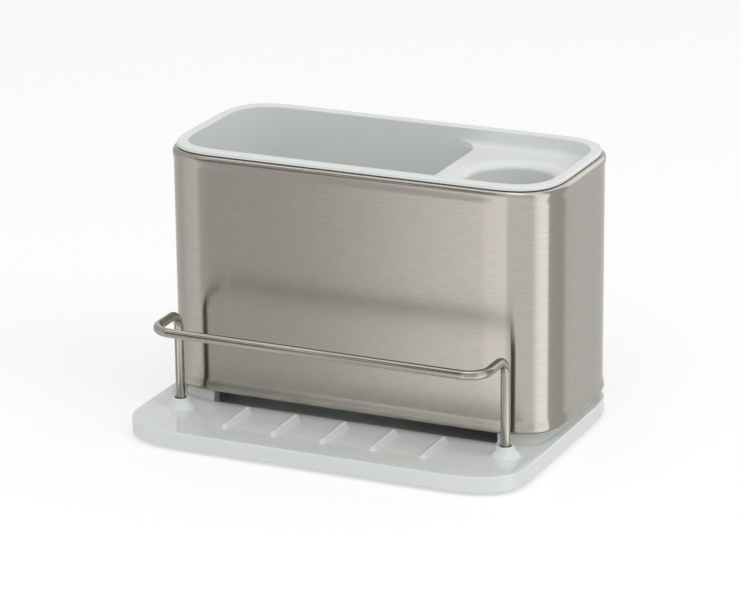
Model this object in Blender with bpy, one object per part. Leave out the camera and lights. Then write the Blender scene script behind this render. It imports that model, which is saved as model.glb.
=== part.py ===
"""Sink caddy: a drip tray on four feet, a steel sleeve, an inner liner and a wire rail.

Metres, +Z up. The origin is on the floor under the middle of the tray, and the front is -Y.
"""
import math

import bpy
from mathutils import Vector

# Drip tray
TRAY_WIDTH = 0.203
TRAY_DEPTH = 0.143
TRAY_FRONT_BOW = 0.0426    # reach of a front corner along the front, which it bows a little
TRAY_FRONT_CORNER = 0.0302 # reach of a front corner along the side
TRAY_BACK_CORNER = 0.0368
TRAY_STAND = 0.0019        # free height under the tray's skirt
TRAY_WALL_HEIGHT = 0.0077  # skirt, from its lower edge to the top edge
TRAY_WALL = 0.0024
TRAY_PLATE = 0.0023        # least thickness of the plate over the hollow underside
EDGE_FILLET = 0.0007
DISH_INSET = 0.0009        # width of the level edge round the dish
DISH_BANK = 0.0100         # run of the soft bank from the edge to the dish
DISH_LIP = 0.0002          # drop of the dish at its front
DISH_FALL = 0.0017         # further drop from the front of the dish to the sleeve

# Plinth, well and drain slot under the sleeve
EDGE_MARGIN = 0.00125      # tray edge beyond the sleeve, at the sides and the back
PLINTH_INSET = 0.0039
PLINTH_RISE = 0.0039       # plinth top over the tray's edge
PLINTH_COVE = 0.0022
COVE_SINK = 0.0002         # the cove starts this far under the dish's floor
SLEEVE_SEAT = 0.0035       # width of the plinth's top that carries the sleeve
UPSTAND_HEIGHT = 0.0035
UPSTAND_WALL = 0.0020
WELL_FLOOR = 0.0022
WELL_CORNER = 0.0020
SLOT_WIDTH = 0.1486
SLOT_LEDGE = 0.0026        # dish floor that runs in under the sleeve's front

# Drain ribs
RIB_COUNT = 5
RIB_PITCH = 0.02565
RIB_FRONT_GAP = 0.0164     # from the tray's front edge to the ribs' ridges
RIB_LENGTH = 0.0258
RIB_RISE = 0.0014          # ridge over the tray's edge
RIB_TOP_WIDTH = 0.0018
RIB_SLOPE = 0.70           # widening of a rib on each side, per unit of depth
RIB_END_SLOPE = 0.45
RIB_BLUNT = 0.0005         # rounding of the ridge's edges
RIB_TIP_FLAT = 0.02        # share of a rib's half width that stays flat at its ends

# Wire rail and its bosses
WIRE_DIAMETER = 0.0045
RAIL_SPAN = 0.1692         # between the centres of the legs
RAIL_LEG_GAP = 0.0367      # from the tray's front edge to the legs
RAIL_BAR_GAP = 0.0079      # from the tray's front edge to the bar
RAIL_HEIGHT = 0.0465       # centre of the bar over the tray's edge
RAIL_PLAN_BEND = 0.0100
RAIL_LEG_BEND = 0.0078
BOSS_RISE = 0.0036         # boss top over the tray's edge
BOSS_TOP_RADIUS = 0.0043
BOSS_BASE_RADIUS = 0.0078
BOSS_FLARE = 1.25          # 1 makes the boss a straight cone, more makes its side hollow
BOSS_CORE_RADIUS = 0.0045
SOCKET_DEPTH = 0.0085
MOUTH_RADIUS = 0.0031      # of the socket's widened mouth
MOUTH_DEPTH = 0.0030

# Steel sleeve
BAY_DEPTH = 0.04805        # from the tray's front edge to the sleeve's front
SLEEVE_HEIGHT = 0.1180
SLEEVE_CORNER = 0.0330     # reach of a corner, about 1.37 times the radius of an equal round one
CORNER_FORM = 0.667        # 1 makes corners round, less makes them start more gently
SHEET = 0.0008
TOP_ROLL = 0.0024          # outer radius of the rolled top edge
BOTTOM_ROLL = 0.0013
TOP_FLARE = 0.00045        # the sleeve swells by this much at its top
BOTTOM_FLARE = 0.0007
FLARE_HEIGHT = 0.0068
HALF_FLARE_HEIGHT = 0.0038 # where half of the swelling is left
TOP_FLANGE = 0.0036        # reach of the rolled top edge inward

# Inner liner
RIM_INSET = 0.0013         # from the sleeve's face to the rim
RIM_WIDTH = 0.0058         # at the front and the back
RIM_SIDE_WIDTH = 0.0049
RIM_CORNER = 0.0327        # reach of the rim's outer corners
RIM_HEIGHT = 0.0019
RIM_ROUND = 0.0009
LINER_WALL = 0.0020
LINER_TAPER = 0.0012
LINER_FLOOR = 0.0022
LINER_FOOT_GAP = 0.0015    # under the liner, over the upstand
CAVITY_FILLET = 0.0060
SHELF_WIDTH = 0.0648       # from the shelf's free edge to the right wall
SHELF_DROP = 0.0087
SHELF_COVE = 0.0040
DIVIDER_CORNER = 0.0110
POCKET_RADIUS = 0.0217
POCKET_X_GAP = 0.0305      # from the right wall to the pocket's centre
FUNNEL_RADIUS = 0.0283
FUNNEL_DEPTH = 0.0036
DRAIN_RADIUS = 0.0025
DRAIN_PITCH = 0.0180
DRAIN_COLUMNS = 5
DRAIN_ROWS = 3

# Feet
FOOT_RADIUS = 0.0057
FOOT_RECESS = 0.0008
FOOT_CHAMFER = 0.00035
FOOT_SIDE_GAP = 0.0215     # from the tray's side to a foot's centre
FOOT_FRONT_GAP = 0.0145
FOOT_BACK_GAP = 0.0195
PILLAR_WALL = 0.0016

# Clearances and fineness
SEAT_GAP = 0.0003          # between pieces that rest on each other
SIDE_GAP = 0.0004          # beside pieces that slide past each other
OVERRUN = 0.0050           # length of a cutter past the face that it opens
CORNER_STEPS = 12
ROLL_STEPS = 4
BEND_STEPS = 8
BANK_STEPS = 5
DRAIN_STEPS = 10
ROUND_STEPS = 28

# Heights and places that follow
TRAY_BOTTOM = TRAY_STAND
TRAY_TOP = TRAY_BOTTOM + TRAY_WALL_HEIGHT
DISH_BACK_Z = TRAY_TOP - DISH_LIP - DISH_FALL
PLATE_UNDERSIDE = DISH_BACK_Z - TRAY_PLATE
PLATE_MIDDLE = DISH_BACK_Z - TRAY_PLATE / 2
PLINTH_TOP = TRAY_TOP + PLINTH_RISE
UPSTAND_TOP = PLINTH_TOP + UPSTAND_HEIGHT
SLEEVE_BOTTOM = PLINTH_TOP + SEAT_GAP
SLEEVE_TOP = SLEEVE_BOTTOM + SLEEVE_HEIGHT
SLEEVE_WIDTH = TRAY_WIDTH - 2 * EDGE_MARGIN
SLEEVE_BACK = TRAY_DEPTH / 2 - EDGE_MARGIN
SLEEVE_FRONT = BAY_DEPTH - TRAY_DEPTH / 2
UPSTAND_INSET = PLINTH_INSET + SLEEVE_SEAT
WELL_INSET = UPSTAND_INSET + UPSTAND_WALL
WELL_BOTTOM = TRAY_BOTTOM + WELL_FLOOR
BOTTOM_FLANGE = UPSTAND_INSET - SIDE_GAP
RIM_BOTTOM = SLEEVE_TOP + SEAT_GAP
RIM_TOP = RIM_BOTTOM + RIM_HEIGHT
LINER_INSET = TOP_FLANGE + SIDE_GAP
CAVITY_INSET = RIM_INSET + RIM_WIDTH
CAVITY_SIDE_INSET = RIM_INSET + RIM_SIDE_WIDTH
LINER_BOTTOM = UPSTAND_TOP + LINER_FOOT_GAP
SHELF_TOP = RIM_TOP - SHELF_DROP
RAIL_Z = TRAY_TOP + RAIL_HEIGHT
LEG_Y = RAIL_LEG_GAP - TRAY_DEPTH / 2
BAR_Y = RAIL_BAR_GAP - TRAY_DEPTH / 2
BOSS_TOP = TRAY_TOP + BOSS_RISE
SOCKET_BOTTOM = BOSS_TOP - SOCKET_DEPTH
SOCKET_RADIUS = WIRE_DIAMETER / 2 + SEAT_GAP

# Plans as x_min, x_max, y_min, y_max and the reaches of the corners along X and Y,
# counter-clockwise from the front right one
TRAY_REACHES = (
    (TRAY_FRONT_BOW, TRAY_FRONT_CORNER),
    (TRAY_BACK_CORNER, TRAY_BACK_CORNER),
    (TRAY_BACK_CORNER, TRAY_BACK_CORNER),
    (TRAY_FRONT_BOW, TRAY_FRONT_CORNER),
)
SLEEVE_REACHES = ((SLEEVE_CORNER, SLEEVE_CORNER),) * 4
TRAY_PLAN = (-TRAY_WIDTH / 2, TRAY_WIDTH / 2, -TRAY_DEPTH / 2, TRAY_DEPTH / 2, TRAY_REACHES)
SLEEVE_PLAN = (-SLEEVE_WIDTH / 2, SLEEVE_WIDTH / 2, SLEEVE_FRONT, SLEEVE_BACK, SLEEVE_REACHES)
RIM_PLAN = (
    -SLEEVE_WIDTH / 2 + RIM_INSET,
    SLEEVE_WIDTH / 2 - RIM_INSET,
    SLEEVE_FRONT + RIM_INSET,
    SLEEVE_BACK - RIM_INSET,
    ((RIM_CORNER, RIM_CORNER),) * 4,
)
CAVITY_PLAN = (
    -SLEEVE_WIDTH / 2 + CAVITY_SIDE_INSET,
    SLEEVE_WIDTH / 2 - CAVITY_SIDE_INSET,
    SLEEVE_FRONT + CAVITY_INSET,
    SLEEVE_BACK - CAVITY_INSET,
    ((RIM_CORNER - RIM_SIDE_WIDTH, RIM_CORNER - RIM_WIDTH),) * 4,
)


def outline(x_min, x_max, y_min, y_max, reaches, steps=CORNER_STEPS, form=1.0):
    """Points of a rounded rectangle, counter-clockwise from its front right corner."""
    corners = (
        (x_max, y_min, 1, -1),
        (x_max, y_max, 1, 1),
        (x_min, y_max, -1, 1),
        (x_min, y_min, -1, -1),
    )
    points = []
    for (x, y, side_x, side_y), (reach_x, reach_y) in zip(corners, reaches):
        turn = quarter(steps)
        if side_x == side_y:
            turn.reverse()
        for sine, cosine in turn:
            inward_x = reach_x * (1 - sine ** form)
            inward_y = reach_y * (1 - cosine ** form)
            points.append((x - side_x * inward_x, y - side_y * inward_y))
    return points


def inset(plan, distance):
    """Outline of a plan with gentle corners, drawn in by a distance all round."""
    x_min, x_max, y_min, y_max, reaches = plan
    inner = [(reach_x - distance, reach_y - distance) for reach_x, reach_y in reaches]
    return outline(x_min + distance, x_max - distance, y_min + distance, y_max - distance,
                   inner, form=CORNER_FORM)


def even(radius):
    """Reaches of four equal round corners."""
    return ((radius, radius),) * 4


def circle(x, y, radius, steps=ROUND_STEPS):
    """Points of a circle, counter-clockwise."""
    angles = [math.tau * step / steps for step in range(steps)]
    return [(x + radius * math.cos(angle), y + radius * math.sin(angle)) for angle in angles]


def quarter(steps):
    """Sine and cosine at even steps over a quarter turn."""
    angles = [math.radians(90 * step / steps) for step in range(steps + 1)]
    return [(math.sin(angle), math.cos(angle)) for angle in angles]


def level(points, z):
    """A ring of points at one height."""
    return [Vector((x, y, z)) for x, y in points]


def loft(name, rings, closed=False):
    """A solid through rings of equally many points, capped, or closed on itself like a tyre."""
    count = len(rings[0])
    points = [point for ring in rings for point in ring]
    faces = []
    spans = len(rings) if closed else len(rings) - 1
    for span in range(spans):
        low = span * count
        high = (span + 1) % len(rings) * count
        for side in range(count):
            after = (side + 1) % count
            faces.append((low + side, low + after, high + after, high + side))
    if not closed:
        last = (len(rings) - 1) * count
        faces.append(tuple(reversed(range(count))))
        faces.append(tuple(range(last, last + count)))
    mesh = bpy.data.meshes.new(name)
    mesh.from_pydata(points, [], faces)
    mesh.update()
    body = bpy.data.objects.new(name, mesh)
    bpy.context.collection.objects.link(body)
    return body


def combine(body, tool, operation):
    """Join a tool to a body, or cut it out of the body, and delete the tool."""
    modifier = body.modifiers.new("combine", "BOOLEAN")
    modifier.operation = operation
    modifier.solver = "EXACT"
    modifier.object = tool
    graph = bpy.context.evaluated_depsgraph_get()
    result = bpy.data.meshes.new_from_object(body.evaluated_get(graph))
    former = body.data
    body.modifiers.clear()
    body.data = result
    bpy.data.meshes.remove(former)
    bpy.data.objects.remove(tool)


def join(body, *tools):
    """Join tools to a body."""
    for tool in tools:
        combine(body, tool, "UNION")


def cut(body, *tools):
    """Cut tools out of a body."""
    for tool in tools:
        combine(body, tool, "DIFFERENCE")


def finish(body, name, material):
    """Name a piece, give it its material and shade it smooth between its sharp edges."""
    body.name = name
    body.data.name = name
    body.data.materials.clear()
    body.data.materials.append(material)
    body.data.shade_smooth()
    body.data.set_sharp_from_angle(angle=math.radians(30))
    return body


def surface(name, colour, roughness, metallic=0.0):
    """A plain material."""
    material = bpy.data.materials.new(name)
    material.use_nodes = True
    shader = material.node_tree.nodes["Principled BSDF"]
    shader.inputs["Base Color"].default_value = (*colour, 1.0)
    shader.inputs["Roughness"].default_value = roughness
    shader.inputs["Metallic"].default_value = metallic
    return material


def turned(name, x, y, profile):
    """A solid of revolution about a vertical line, through pairs of radius and height."""
    return loft(name, [level(circle(x, y, radius), z) for radius, z in profile])


def dish_ring(drawn_in, share):
    """A ring of the dish's surface, at a share of the full depth that the dish has there."""
    front = -TRAY_DEPTH / 2 + DISH_INSET + DISH_BANK
    points = inset(TRAY_PLAN, drawn_in)
    side = max(x for x, y in points)
    half = CORNER_STEPS + 1
    points.insert(3 * half, (-side, SLEEVE_FRONT))
    points.insert(half, (side, SLEEVE_FRONT))
    ring = []
    for x, y in points:
        run = min(max(y - front, 0), SLEEVE_FRONT - front)
        depth = DISH_LIP + DISH_FALL * run / (SLEEVE_FRONT - front)
        ring.append(Vector((x, y, TRAY_TOP - share * depth)))
    return ring


def dish_tool():
    """The space over the dish: its floor falls to the sleeve's front and is level behind it."""
    rings = []
    for step in range(BANK_STEPS + 1):
        angle = math.pi * step / BANK_STEPS
        drawn_in = DISH_INSET + DISH_BANK * (1 - step / BANK_STEPS)
        rings.append(dish_ring(drawn_in, (1 + math.cos(angle)) / 2))
    brim = [(point.x, point.y) for point in rings[-1]]
    rings.append(level(brim, TRAY_TOP + OVERRUN))
    tool = loft("dish_tool", rings)
    split_floor(tool, CORNER_STEPS + 1, 3 * (CORNER_STEPS + 1) + 1)
    return tool


def split_floor(tool, first, second):
    """Divide the lower cap along the line where the dish's fall ends, so that both parts are flat."""
    mesh = tool.data
    cap = next(face for face in mesh.polygons if len(face.vertices) > 4 and first in face.vertices)
    order = list(cap.vertices)
    faces = [tuple(face.vertices) for face in mesh.polygons if face.index != cap.index]
    start = order.index(first)
    order = order[start:] + order[:start]
    end = order.index(second)
    faces.append(tuple(order[:end + 1]))
    faces.append(tuple(order[end:] + order[:1]))
    points = [vertex.co.copy() for vertex in mesh.vertices]
    mesh.clear_geometry()
    mesh.from_pydata(points, [], faces)
    mesh.update()


def tray_slab():
    """The tray's outer form, with a rounded top edge."""
    rings = [level(inset(TRAY_PLAN, 0), TRAY_BOTTOM)]
    for sine, cosine in quarter(ROLL_STEPS):
        drawn_in = EDGE_FILLET * (1 - cosine)
        z = TRAY_TOP - EDGE_FILLET * (1 - sine)
        rings.append(level(inset(TRAY_PLAN, drawn_in), z))
    return loft("drip_tray", rings)


def plinth():
    """The raised seat under the sleeve, with a cove at its foot and an upstand inside the sleeve."""
    foot = DISH_BACK_Z - COVE_SINK
    rings = [level(inset(SLEEVE_PLAN, PLINTH_INSET - PLINTH_COVE), PLATE_MIDDLE)]
    for sine, cosine in quarter(ROLL_STEPS):
        drawn_in = PLINTH_INSET - PLINTH_COVE * (1 - sine)
        z = foot + PLINTH_COVE * (1 - cosine)
        rings.append(level(inset(SLEEVE_PLAN, drawn_in), z))
    rings.append(level(inset(SLEEVE_PLAN, PLINTH_INSET), PLINTH_TOP))
    rings.append(level(inset(SLEEVE_PLAN, UPSTAND_INSET), PLINTH_TOP))
    rings.append(level(inset(SLEEVE_PLAN, UPSTAND_INSET), UPSTAND_TOP))
    return loft("plinth", rings)


def well_block():
    """The outside of the well, seen from below."""
    points = inset(SLEEVE_PLAN, UPSTAND_INSET)
    return loft("well_block", [level(points, TRAY_BOTTOM), level(points, PLATE_MIDDLE)])


def slot_block():
    """The outside of the well's throat under the drain slot."""
    half = SLOT_WIDTH / 2 + UPSTAND_WALL
    front = SLEEVE_FRONT + SLOT_LEDGE - UPSTAND_WALL
    back = SLEEVE_FRONT + WELL_INSET + OVERRUN
    points = outline(-half, half, front, back, even(UPSTAND_WALL), ROLL_STEPS)
    return loft("slot_block", [level(points, TRAY_BOTTOM), level(points, PLATE_MIDDLE)])


def well_tool():
    """The space inside the well, with a rounded floor edge."""
    rings = []
    for sine, cosine in quarter(ROLL_STEPS):
        drawn_in = WELL_INSET + WELL_CORNER * (1 - sine)
        z = WELL_BOTTOM + WELL_CORNER * (1 - cosine)
        rings.append(level(inset(SLEEVE_PLAN, drawn_in), z))
    rings.append(level(inset(SLEEVE_PLAN, WELL_INSET), UPSTAND_TOP + OVERRUN))
    return loft("well_tool", rings)


def slot_tool():
    """The drain slot: the opening in the plinth's front and the throat down to the well."""
    half = SLOT_WIDTH / 2
    front = SLEEVE_FRONT + SLOT_LEDGE
    back = SLEEVE_FRONT + WELL_INSET + OVERRUN
    points = outline(-half, half, front, back, even(WELL_CORNER / 2), ROLL_STEPS)
    return loft("slot_tool", [level(points, WELL_BOTTOM), level(points, UPSTAND_TOP + OVERRUN)])


def rib(x):
    """One drain rib: a level ridge whose flanks widen down to the dish."""
    front = -TRAY_DEPTH / 2 + RIB_FRONT_GAP
    ridge = TRAY_TOP + RIB_RISE
    rings = []
    for depth, blunt in ((ridge - PLATE_MIDDLE, 0), (RIB_BLUNT, 0), (0, RIB_BLUNT)):
        half = RIB_TOP_WIDTH / 2 + RIB_SLOPE * depth - blunt
        end = RIB_END_SLOPE * depth - blunt
        tips = even(half * (1 - RIB_TIP_FLAT))
        points = outline(x - half, x + half, front - end, front + RIB_LENGTH + end, tips, ROLL_STEPS)
        rings.append(level(points, ridge - depth))
    return loft("rib", rings)


def boss(x):
    """One boss for a leg of the rail: a flared cone over a core that reaches into the plate."""
    foot = DISH_BACK_Z
    height = BOSS_TOP - foot
    spread = BOSS_BASE_RADIUS - BOSS_TOP_RADIUS
    profile = [(BOSS_BASE_RADIUS, PLATE_MIDDLE)]
    for step in range(BEND_STEPS + 1):
        share = step / BEND_STEPS
        radius = BOSS_TOP_RADIUS + spread * (1 - share) ** BOSS_FLARE
        profile.append((radius, foot + height * share))
    return turned("boss", x, LEG_Y, profile)


def pillar(x, y, radius, top):
    """A round pillar under the tray's plate."""
    return turned("pillar", x, y, [(radius, TRAY_BOTTOM), (radius, top)])


def foot_places():
    """Name and centre of each foot."""
    side = TRAY_WIDTH / 2 - FOOT_SIDE_GAP
    front = -TRAY_DEPTH / 2 + FOOT_FRONT_GAP
    back = TRAY_DEPTH / 2 - FOOT_BACK_GAP
    return (
        ("foot_front_left", -side, front),
        ("foot_front_right", side, front),
        ("foot_back_left", -side, back),
        ("foot_back_right", side, back),
    )


def drip_tray(material):
    """The tray, with its dish, ribs, bosses, plinth, drain slot, well and hollow underside."""
    tray = tray_slab()
    hollow = inset(TRAY_PLAN, TRAY_WALL)
    cut(tray, dish_tool())
    cut(tray, loft("hollow", [level(hollow, TRAY_BOTTOM - OVERRUN), level(hollow, PLATE_UNDERSIDE)]))
    join(tray, well_block(), slot_block(), plinth())
    for index in range(RIB_COUNT):
        join(tray, rib((index - (RIB_COUNT - 1) / 2) * RIB_PITCH))
    for side in (-1, 1):
        x = side * RAIL_SPAN / 2
        join(tray, boss(x), pillar(x, LEG_Y, BOSS_CORE_RADIUS, PLATE_MIDDLE))
    recess = FOOT_RADIUS + SEAT_GAP
    for name, x, y in foot_places():
        if y < 0:
            join(tray, pillar(x, y, recess + PILLAR_WALL, PLATE_MIDDLE))
    cut(tray, well_tool(), slot_tool())
    socket = [
        (SOCKET_RADIUS, SOCKET_BOTTOM),
        (SOCKET_RADIUS, BOSS_TOP - MOUTH_DEPTH),
        (MOUTH_RADIUS, BOSS_TOP),
        (MOUTH_RADIUS, BOSS_TOP + OVERRUN),
    ]
    for side in (-1, 1):
        cut(tray, turned("socket", side * RAIL_SPAN / 2, LEG_Y, socket))
    for name, x, y in foot_places():
        profile = [(recess, TRAY_BOTTOM - OVERRUN), (recess, TRAY_BOTTOM + FOOT_RECESS)]
        cut(tray, turned("recess", x, y, profile))
    return finish(tray, "drip_tray", material)


def foot(name, x, y, material):
    """One soft foot, seated in its recess."""
    top = TRAY_BOTTOM + FOOT_RECESS - SEAT_GAP
    profile = [(FOOT_RADIUS - FOOT_CHAMFER, 0), (FOOT_RADIUS, FOOT_CHAMFER), (FOOT_RADIUS, top)]
    return finish(turned(name, x, y, profile), name, material)


def sleeve_profile():
    """Inset and height round the sheet's section: up the outer face, then down the inner one."""
    low_centre = SLEEVE_BOTTOM + BOTTOM_ROLL
    high_centre = SLEEVE_TOP - TOP_ROLL
    low_roll = BOTTOM_ROLL - BOTTOM_FLARE
    high_roll = TOP_ROLL - TOP_FLARE
    outer = [(BOTTOM_FLANGE, SLEEVE_BOTTOM)]
    for sine, cosine in quarter(ROLL_STEPS):
        outer.append((low_roll - BOTTOM_ROLL * sine, low_centre - BOTTOM_ROLL * cosine))
    outer.append((-BOTTOM_FLARE / 2, SLEEVE_BOTTOM + HALF_FLARE_HEIGHT))
    outer.append((0, SLEEVE_BOTTOM + FLARE_HEIGHT))
    outer.append((0, SLEEVE_TOP - FLARE_HEIGHT))
    outer.append((-TOP_FLARE / 2, SLEEVE_TOP - HALF_FLARE_HEIGHT))
    for sine, cosine in quarter(ROLL_STEPS):
        outer.append((high_roll - TOP_ROLL * cosine, high_centre + TOP_ROLL * sine))
    outer.append((TOP_FLANGE, SLEEVE_TOP))
    inner = [(TOP_FLANGE, SLEEVE_TOP - SHEET)]
    for sine, cosine in quarter(ROLL_STEPS):
        inner.append((high_roll - (TOP_ROLL - SHEET) * sine, high_centre + (TOP_ROLL - SHEET) * cosine))
    inner.append((SHEET - TOP_FLARE / 2, SLEEVE_TOP - HALF_FLARE_HEIGHT))
    inner.append((SHEET, SLEEVE_TOP - FLARE_HEIGHT))
    inner.append((SHEET, SLEEVE_BOTTOM + FLARE_HEIGHT))
    inner.append((SHEET - BOTTOM_FLARE / 2, SLEEVE_BOTTOM + HALF_FLARE_HEIGHT))
    for sine, cosine in quarter(ROLL_STEPS):
        inner.append((low_roll - (BOTTOM_ROLL - SHEET) * cosine, low_centre - (BOTTOM_ROLL - SHEET) * sine))
    inner.append((BOTTOM_FLANGE, SLEEVE_BOTTOM + SHEET))
    return outer + inner


def steel_sleeve(material):
    """The sheet sleeve, open at both ends, with both edges rolled inward."""
    rings = [level(inset(SLEEVE_PLAN, drawn_in), z) for drawn_in, z in sleeve_profile()]
    return finish(loft("steel_sleeve", rings, closed=True), "steel_sleeve", material)


def pocket_centre():
    """Centre of the brush pocket."""
    x_min, x_max, y_min, y_max, reaches = CAVITY_PLAN
    return x_max - POCKET_X_GAP, (y_min + y_max) / 2


def compartment_outline(drawn_in):
    """Plan of the large compartment, drawn in by a distance all round."""
    x_min, x_max, y_min, y_max, reaches = CAVITY_PLAN
    divider = x_max - SHELF_WIDTH
    reach_x, reach_y = reaches[0]
    left = (reach_x - drawn_in, reach_y - drawn_in)
    right = (DIVIDER_CORNER - drawn_in,) * 2
    return outline(x_min + drawn_in, divider - drawn_in, y_min + drawn_in, y_max - drawn_in,
                   (right, right, left, left), form=CORNER_FORM)


def compartment_tool():
    """The space in the large compartment: it tapers down to a rounded floor edge."""
    floor = LINER_BOTTOM + LINER_FLOOR
    rings = []
    for sine, cosine in quarter(ROLL_STEPS):
        drawn_in = LINER_TAPER + CAVITY_FILLET * (1 - sine)
        z = floor + CAVITY_FILLET * (1 - cosine)
        rings.append(level(compartment_outline(drawn_in), z))
    rings.append(level(compartment_outline(0), RIM_TOP))
    rings.append(level(compartment_outline(0), RIM_TOP + OVERRUN))
    return loft("compartment_tool", rings)


def compartment_shell():
    """The outside of the large compartment, a wall's thickness round its space."""
    fillet = CAVITY_FILLET + LINER_WALL
    rings = []
    for sine, cosine in quarter(ROLL_STEPS):
        drawn_in = LINER_TAPER - LINER_WALL + fillet * (1 - sine)
        z = LINER_BOTTOM + fillet * (1 - cosine)
        rings.append(level(compartment_outline(drawn_in), z))
    rings.append(level(compartment_outline(-LINER_WALL), SHELF_TOP - LINER_FLOOR / 2))
    return loft("compartment_shell", rings)


def pocket_profile(grown):
    """Radius and height of the brush pocket's lower part, grown by a wall or by nothing."""
    floor = LINER_BOTTOM + LINER_FLOOR - grown
    fillet = CAVITY_FILLET + grown
    low_radius = POCKET_RADIUS - LINER_TAPER + grown
    profile = []
    for sine, cosine in quarter(ROLL_STEPS):
        profile.append((low_radius - fillet * (1 - sine), floor + fillet * (1 - cosine)))
    return profile


def pocket_tool():
    """The space in the brush pocket, with the funnel in the shelf over it."""
    x, y = pocket_centre()
    profile = pocket_profile(0)
    profile.append((POCKET_RADIUS, SHELF_TOP - FUNNEL_DEPTH))
    spread = FUNNEL_RADIUS - POCKET_RADIUS
    for sine, cosine in quarter(ROLL_STEPS)[1:]:
        z = SHELF_TOP - FUNNEL_DEPTH * (1 - sine)
        profile.append((POCKET_RADIUS + spread * (1 - cosine), z))
    profile.append((FUNNEL_RADIUS, SHELF_TOP + OVERRUN))
    return turned("pocket_tool", x, y, profile)


def pocket_shell():
    """The outside of the brush pocket."""
    x, y = pocket_centre()
    profile = pocket_profile(LINER_WALL)
    top = SHELF_TOP - FUNNEL_DEPTH - LINER_WALL
    profile.append((POCKET_RADIUS + LINER_WALL, top))
    profile.append((FUNNEL_RADIUS + LINER_WALL, SHELF_TOP - LINER_FLOOR / 2))
    return turned("pocket_shell", x, y, profile)


def shelf_tool():
    """The space over the shelf and beside it, with a cove where the shelf meets the walls."""
    rings = []
    for sine, cosine in quarter(ROLL_STEPS):
        drawn_in = SHELF_COVE * (1 - sine)
        rings.append(level(inset(CAVITY_PLAN, drawn_in), SHELF_TOP + SHELF_COVE * (1 - cosine)))
    rings.append(level(inset(CAVITY_PLAN, 0), RIM_TOP + OVERRUN))
    return loft("shelf_tool", rings)


def rim_and_collar():
    """The rim over the sleeve's edge, and the collar below it that carries the shelf."""
    collar_bottom = SHELF_TOP - LINER_FLOOR
    rings = [
        level(inset(SLEEVE_PLAN, LINER_INSET), collar_bottom),
        level(inset(SLEEVE_PLAN, LINER_INSET), RIM_BOTTOM),
        level(inset(RIM_PLAN, 0), RIM_BOTTOM),
    ]
    for sine, cosine in quarter(ROLL_STEPS):
        z = RIM_TOP - RIM_ROUND * (1 - sine)
        rings.append(level(inset(RIM_PLAN, RIM_ROUND * (1 - cosine)), z))
    return loft("inner_liner", rings)


def drain_holes():
    """Centres of the drain holes in the floors of the compartment and the pocket."""
    x_min, x_max, y_min, y_max, reaches = CAVITY_PLAN
    middle = (x_min + x_max - SHELF_WIDTH) / 2
    x, y = pocket_centre()
    places = [(x, y)]
    for column in range(DRAIN_COLUMNS):
        for row in range(DRAIN_ROWS):
            offset_x = (column - (DRAIN_COLUMNS - 1) / 2) * DRAIN_PITCH
            offset_y = (row - (DRAIN_ROWS - 1) / 2) * DRAIN_PITCH
            places.append((middle + offset_x, y + offset_y))
    return places


def inner_liner(material):
    """The liner that hangs in the sleeve by its rim: compartment, shelf and brush pocket."""
    liner = rim_and_collar()
    join(liner, compartment_shell(), pocket_shell())
    cut(liner, shelf_tool(), compartment_tool(), pocket_tool())
    low = LINER_BOTTOM - OVERRUN
    high = LINER_BOTTOM + LINER_FLOOR + OVERRUN
    for x, y in drain_holes():
        points = circle(x, y, DRAIN_RADIUS, DRAIN_STEPS)
        cut(liner, loft("drain", [level(points, low), level(points, high)]))
    return finish(liner, "inner_liner", material)


def half_rail():
    """Centre line of the rail's left half, from the foot of its leg to the middle of the bar."""
    x = -RAIL_SPAN / 2
    points = [Vector((x, LEG_Y, SOCKET_BOTTOM + SEAT_GAP))]
    for sine, cosine in quarter(BEND_STEPS):
        y = LEG_Y - RAIL_LEG_BEND * (1 - cosine)
        points.append(Vector((x, y, RAIL_Z - RAIL_LEG_BEND * (1 - sine))))
    for sine, cosine in quarter(BEND_STEPS):
        bend_x = x + RAIL_PLAN_BEND * (1 - cosine)
        points.append(Vector((bend_x, BAR_Y + RAIL_PLAN_BEND * (1 - sine), RAIL_Z)))
    return points


def wire_rail(material):
    """The bent wire that holds a sponge on the ribs."""
    left = half_rail()
    points = left + [Vector((-point.x, point.y, point.z)) for point in reversed(left)]
    curve = bpy.data.curves.new("wire_rail", "CURVE")
    curve.dimensions = "3D"
    curve.bevel_depth = WIRE_DIAMETER / 2
    curve.bevel_resolution = 4
    curve.use_fill_caps = True
    spline = curve.splines.new("POLY")
    spline.points.add(len(points) - 1)
    for place, point in zip(spline.points, points):
        place.co = (*point, 1.0)
    spline.use_smooth = True
    curve.materials.append(material)
    rail = bpy.data.objects.new("wire_rail", curve)
    bpy.context.collection.objects.link(rail)
    return rail


def main():
    for former in list(bpy.data.objects):
        bpy.data.objects.remove(former)
    tray_plastic = surface("pale grey gloss plastic", (0.62, 0.66, 0.65), 0.18)
    liner_plastic = surface("pale grey satin plastic", (0.62, 0.66, 0.65), 0.35)
    brushed_steel = surface("brushed stainless steel", (0.55, 0.53, 0.50), 0.30, 1.0)
    wire_steel = surface("satin stainless wire", (0.55, 0.53, 0.50), 0.22, 1.0)
    foot_rubber = surface("grey foot rubber", (0.30, 0.31, 0.31), 0.80)
    drip_tray(tray_plastic)
    steel_sleeve(brushed_steel)
    inner_liner(liner_plastic)
    wire_rail(wire_steel)
    for name, x, y in foot_places():
        foot(name, x, y, foot_rubber)


main()
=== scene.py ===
"""A sink caddy in a plain studio: drip tray, steel sleeve, inner liner, wire rail and four feet.

The pieces are made in millimetres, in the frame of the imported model, and each one stands for the CAD
node of the same name. The front is -Y, and the origin is on the floor under the middle of the tray.
"""
import math

import bpy
from mathutils import Matrix, Vector


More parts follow.
